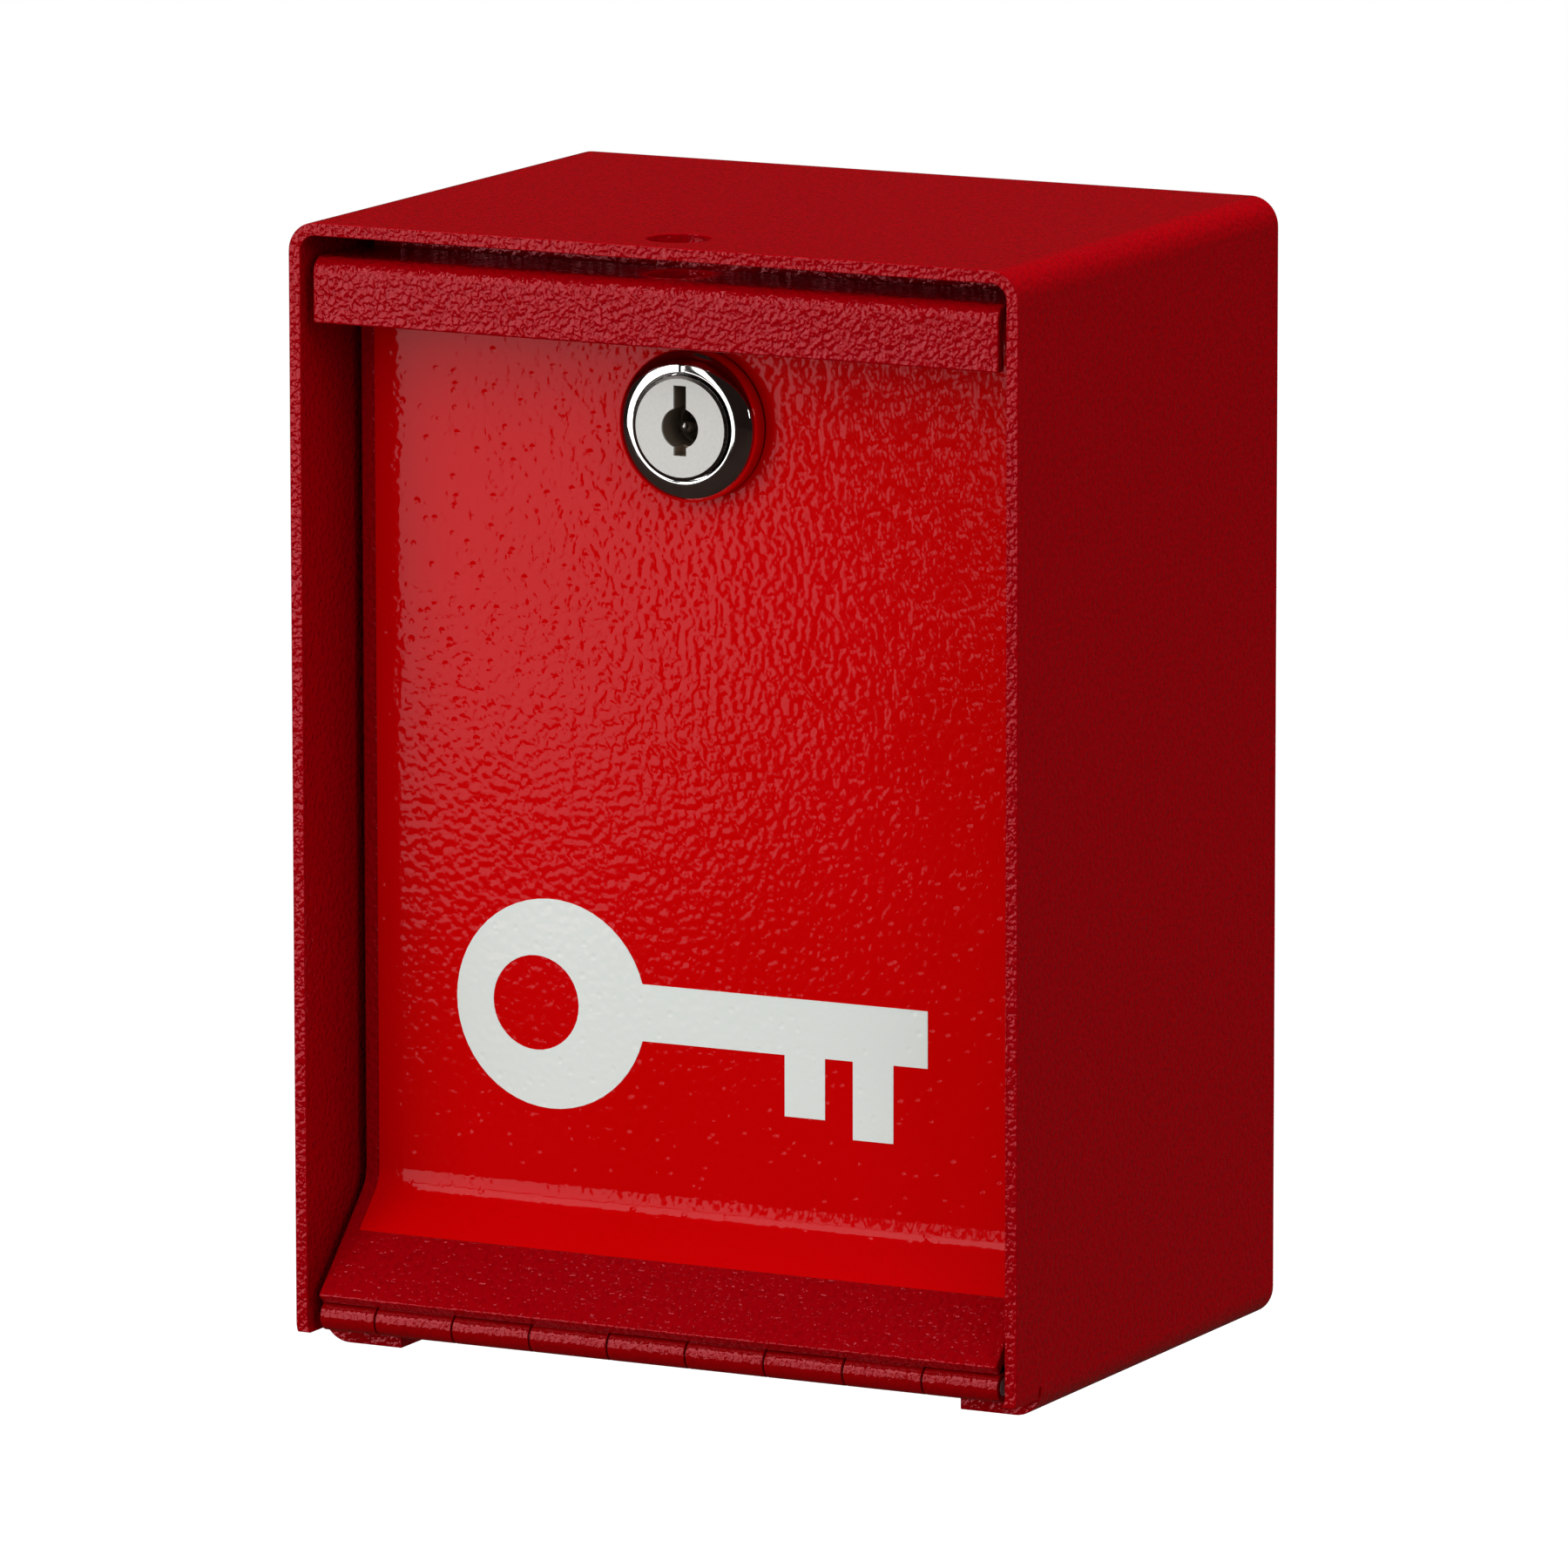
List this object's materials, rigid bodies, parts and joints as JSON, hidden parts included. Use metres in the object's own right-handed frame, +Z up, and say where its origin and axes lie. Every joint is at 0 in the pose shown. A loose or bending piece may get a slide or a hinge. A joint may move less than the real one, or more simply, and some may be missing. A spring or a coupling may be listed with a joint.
{
  "type": "fire department key box",
  "caption": "Wall-mounted red steel key box with a drop-down front door on a continuous hinge, a padlock hole through the top and a cam lock.",
  "frame": {"origin": "middle of the box's footprint, on the plane it stands on", "axes": "+Z up, the box's height; -Y out of the front face; +X to the right seen from the front"},
  "size_m": [0.117, 0.0864, 0.1664],
  "materials": {
    "red_paint": "fine wrinkle powder coat, semi-gloss red",
    "label_film": "smooth glossy red film with a white print",
    "lock_chrome": "bright chrome plate",
    "cap_steel": "satin stainless cap",
    "plug_brass": "machined brass",
    "bare_steel": "zinc-plated steel"
  },
  "bodies": {
    "box": {"enclosure_wrap": "red_paint", "back_and_floor_plate": "red_paint", "strike_channel": "red_paint", "hinge_fixed_leaf": "red_paint", "hinge_pin": "bare_steel", "hook_rail": "bare_steel"},
    "door": {"door_panel": "red_paint", "hinge_door_leaf": "red_paint", "front_label": "label_film", "lock_housing": "lock_chrome", "lock_tooth_washer": "bare_steel", "lock_nut": "bare_steel"},
    "lock_core": {"lock_plug": "plug_brass", "plug_face_cap": "cap_steel", "key_post": "bare_steel", "wafer_tumblers": "plug_brass", "stop_washer": "bare_steel", "lock_cam": "bare_steel", "cam_spring_washer": "bare_steel", "cam_screw": "bare_steel"}
  },
  "joints": [
    {"name": "door_hinge", "type": "hinge", "parent": "box", "child": "door", "pos_m": [0, -0.0401, 0.00517], "axis": [1, 0, 0], "range_deg": [0, 180]},
    {"name": "lock_turn", "type": "hinge", "parent": "door", "child": "lock_core", "pos_m": [0, -0.0281, 0.1389], "axis": [0, 1, 0], "range_deg": [0, 90]}
  ]
}
